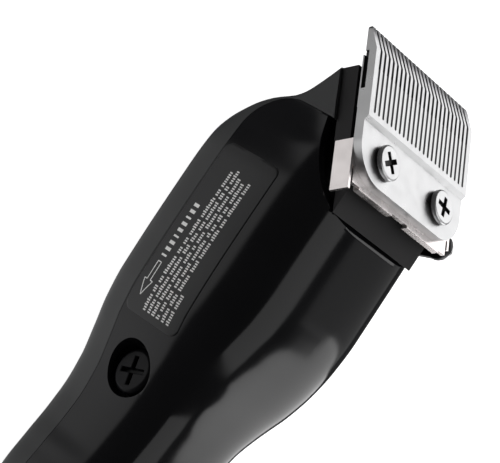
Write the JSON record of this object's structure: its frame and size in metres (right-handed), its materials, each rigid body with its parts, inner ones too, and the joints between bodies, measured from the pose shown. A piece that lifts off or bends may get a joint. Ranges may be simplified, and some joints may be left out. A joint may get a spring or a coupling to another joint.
{
  "type": "hair clipper",
  "caption": "Corded barber's clipper with a vibrator motor, waisted black housing, toothed steel blade set, taper lever, power screw and slide switch.",
  "frame": {"origin": "centre of the blank badge's flat face, on which the clipper lies", "axes": "+X along the body towards the cutting teeth, +Y towards the power screw, +Z towards the belly side that carries the blade"},
  "size_m": [0.1737, 0.0548, 0.0489],
  "materials": {
    "black_gloss": "black gloss enamel",
    "black_satin": "satin black",
    "badge_black": "satin black plate with bright border",
    "label_film": null,
    "black_matt": "matt black, fine grained",
    "zinc_steel": "zinc plated",
    "blade_steel": "ground and polished",
    "nickel_sheet": "nickel plated sheet",
    "screw_steel": "satin nickel",
    "dark_steel": "black oxide",
    "spring_steel": "drawn wire",
    "guide_plastic": "black nylon",
    "arm_zinc": "die cast",
    "lamination_steel": "stacked laminations",
    "bobbin_nylon": "natural nylon",
    "copper_wire": "enamelled copper",
    "screw_black": "black nylon",
    "lever_steel": "black oxide",
    "button_black": "fine grained",
    "switch_grey": "moulded",
    "wire_red": "insulated wire",
    "rubber_black": "satin",
    "loop_wire": "plated wire"
  },
  "bodies": {
    "housing": {"lower_housing": "black_gloss", "top_cover": "black_satin", "badge": "badge_black", "instruction_plate": "label_film", "nose_block": "black_matt", "nose_screws": "zinc_steel", "pivot_pin": "spring_steel", "pivot_clip": "spring_steel", "arm_springs": "spring_steel", "laminated_core": "lamination_steel", "coil_bobbin": "bobbin_nylon", "coil_winding": "copper_wire", "core_screws": "zinc_steel", "lever_screw": "screw_steel", "switch_body": "switch_grey", "lead_wires": "wire_red", "cord_gland": "rubber_black", "hanger_loop": "loop_wire", "cover_screws": "dark_steel"},
    "arm": {"drive_arm": "arm_zinc", "armature": "lamination_steel", "armature_rivets": "zinc_steel"},
    "cutter": {"moving_blade": "blade_steel", "blade_guide": "guide_plastic"},
    "blade_carrier": {"fixed_blade": "blade_steel", "blade_bracket": "nickel_sheet", "blade_screws": "screw_steel", "blade_washers": "dark_steel", "tension_springs": "spring_steel"},
    "lever": {"taper_lever": "lever_steel"},
    "adjuster": {"power_screw": "screw_black"},
    "switch": {"switch_button": "button_black"}
  },
  "joints": [
    {"name": "arm_swing", "type": "hinge", "parent": "housing", "child": "arm", "pos_m": [0.02, 0, 0.017], "axis": [0, 0, 1], "range_deg": [-1.1, 1.1], "stiffness_Nm_per_rad": 3},
    {"name": "cutter_stroke", "type": "slide", "parent": "housing", "child": "cutter", "axis": [0, 1, 0], "range_m": [-0.00125, 0.00125]},
    {"name": "lever_turn", "type": "hinge", "parent": "housing", "child": "lever", "pos_m": [0.06623, 0, 0.04256], "axis": [0, 1, 0], "range_deg": [0, 50]},
    {"name": "blade_shift", "type": "slide", "parent": "housing", "child": "blade_carrier", "axis": [0.8377, 0, -0.5461], "range_m": [0, 0.0015]},
    {"name": "power_turn", "type": "hinge", "parent": "housing", "child": "adjuster", "pos_m": [0.0006, 0.0152, 0.0201], "axis": [0, 1, 0], "range_deg": [-360, 360]},
    {"name": "switch_slide", "type": "slide", "parent": "housing", "child": "switch", "axis": [1, 0, 0], "range_m": [0, 0.005]}
  ],
  "couplings": [
    {"joint": "cutter_stroke", "follows": "arm_swing", "m_per_rad": 0.0637},
    {"joint": "lever_turn", "follows": "blade_shift", "rad_per_m": 581}
  ]
}
